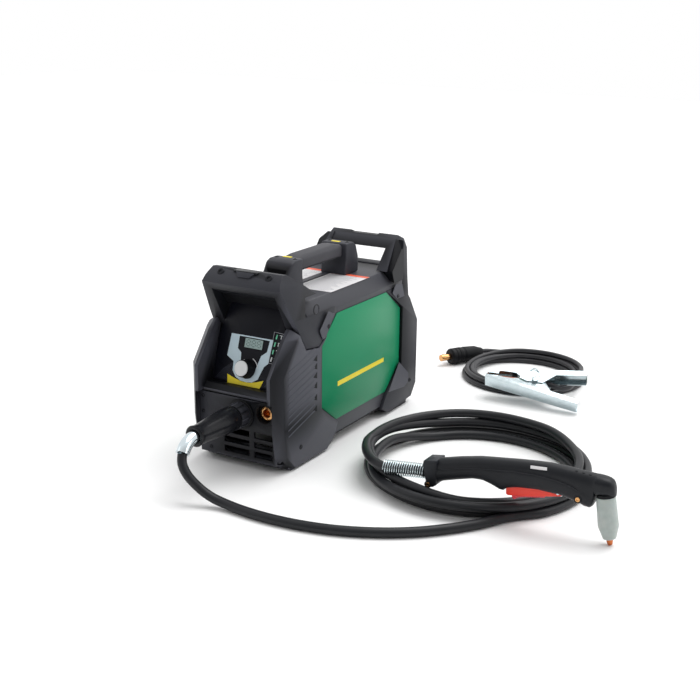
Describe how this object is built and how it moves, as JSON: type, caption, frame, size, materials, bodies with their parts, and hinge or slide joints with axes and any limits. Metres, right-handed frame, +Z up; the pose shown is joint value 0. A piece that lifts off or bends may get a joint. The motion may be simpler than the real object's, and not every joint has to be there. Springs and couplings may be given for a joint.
{
  "type": "plasma cutter unit",
  "caption": "Portable inverter power unit with carry handle and hooded control panel, a hand torch on a coiled lead, and a work lead with plug and spring clamp.",
  "frame": {"origin": "on the floor, below the middle of the box round the power unit, torch and clamp", "axes": "+X from the power unit towards the torch tip, -Y the side the control panel faces, +Z up"},
  "size_m": [0.6976, 0.9615, 0.315],
  "materials": {
    "black_plastic": "moulded, fine grain",
    "grey_plastic": "moulded, satin",
    "dark_plastic": "moulded, matte",
    "green_paint": "powder coat, semi-gloss",
    "rubber": "extruded, semi-matte",
    "grip_rubber": "soft grip, matte",
    "brass": "turned",
    "copper": "turned copper",
    "steel": "zinc plated",
    "aluminium": "extruded",
    "core": "laminated core, varnished",
    "red_plastic": "moulded, glossy",
    "safety_plastic": "moulded, glossy",
    "cup": "fired ceramic, satin",
    "board": "solder mask",
    "window": "clear cover",
    "lens": "milky light strip"
  },
  "bodies": {
    "unit": {"front_bumper": "black_plastic", "front_hood": "black_plastic", "rear_bumper": "black_plastic", "handle_post_front": "black_plastic", "handle_post_rear": "black_plastic", "torch_shell_right": "black_plastic", "torch_shell_left": "black_plastic", "torch_collar": "black_plastic", "main_shell": "grey_plastic", "side_panel_right": "green_paint", "side_panel_left": "green_paint", "base_tray": "steel", "trigger_pin": "steel", "lead_sleeve": "steel", "torch_spring": "steel", "clamp_arm_fixed": "steel", "clamp_pivot": "steel", "clamp_spring": "steel", "lug_bolt": "steel", "handle_grip": "grip_rubber", "control_panel": "dark_plastic", "front_plate": "dark_plastic", "work_socket_insulator": "dark_plastic", "torch_socket": "dark_plastic", "rear_panel": "dark_plastic", "mains_gland": "dark_plastic", "switch_housing": "dark_plastic", "fan_frame": "dark_plastic", "torch_switch": "dark_plastic", "display_window": "window", "status_lens": "lens", "control_board": "board", "power_board": "board", "work_socket": "brass", "air_inlet": "brass", "solenoid_valve": "brass", "torch_head": "brass", "work_plug_pin": "brass", "heat_sink": "aluminium", "transformer": "core", "shield_cup": "cup", "cutting_tip": "copper", "electrode": "copper", "jaw_contact": "copper", "copper_braid": "copper", "lead_boot": "rubber", "torch_lead": "rubber", "torch_lead_coil": "rubber", "torch_lead_end": "rubber", "work_lead_coil": "rubber", "work_plug_sleeve": "rubber", "work_lead_start": "rubber", "work_lead_end": "rubber"},
    "knob": {"output_knob": "dark_plastic"},
    "coupling_nut": {"torch_coupling_nut": "dark_plastic"},
    "fan": {"fan_rotor": "dark_plastic"},
    "rocker": {"power_switch": "red_plastic"},
    "trigger": {"torch_trigger": "red_plastic"},
    "release": {"trigger_release": "safety_plastic"},
    "clamp_jaw": {"clamp_arm_moving": "steel"}
  },
  "joints": [
    {"name": "knob_turn", "type": "hinge", "parent": "unit", "child": "knob", "pos_m": [-0.2628, -0.26275, 0.1549], "axis": [0, -0.9532, 0.3022], "continuous": true},
    {"name": "nut_turn", "type": "hinge", "parent": "unit", "child": "coupling_nut", "pos_m": [-0.2548, -0.30655, 0.091], "axis": [0, 1, 0], "range_deg": [0, 90]},
    {"name": "fan_spin", "type": "hinge", "parent": "unit", "child": "fan", "pos_m": [-0.2628, 0.08845, 0.155], "axis": [0, 1, 0], "continuous": true},
    {"name": "switch_rock", "type": "hinge", "parent": "unit", "child": "rocker", "pos_m": [-0.2208, 0.10445, 0.056], "axis": [1, 0, 0], "range_deg": [0, 18]},
    {"name": "trigger_pull", "type": "hinge", "parent": "unit", "child": "trigger", "pos_m": [0.2592, -0.25395, 0.0628], "axis": [0.007, 1, 0], "range_deg": [0, 4.5], "stiffness_Nm_per_rad": 0.6, "springref_deg": -2.86},
    {"name": "release_slide", "type": "slide", "parent": "trigger", "child": "release", "axis": [-0.9798, 0.0068, -0.2], "range_m": [0, 0.004], "stiffness_N_per_m": 150, "springref_m": -0.002},
    {"name": "clamp_open", "type": "hinge", "parent": "unit", "child": "clamp_jaw", "pos_m": [0.0188, 0.25545, 0.034], "axis": [0.0975, -0.3467, 0.9329], "range_deg": [0, 28], "stiffness_Nm_per_rad": 3, "springref_deg": -11.46}
  ]
}
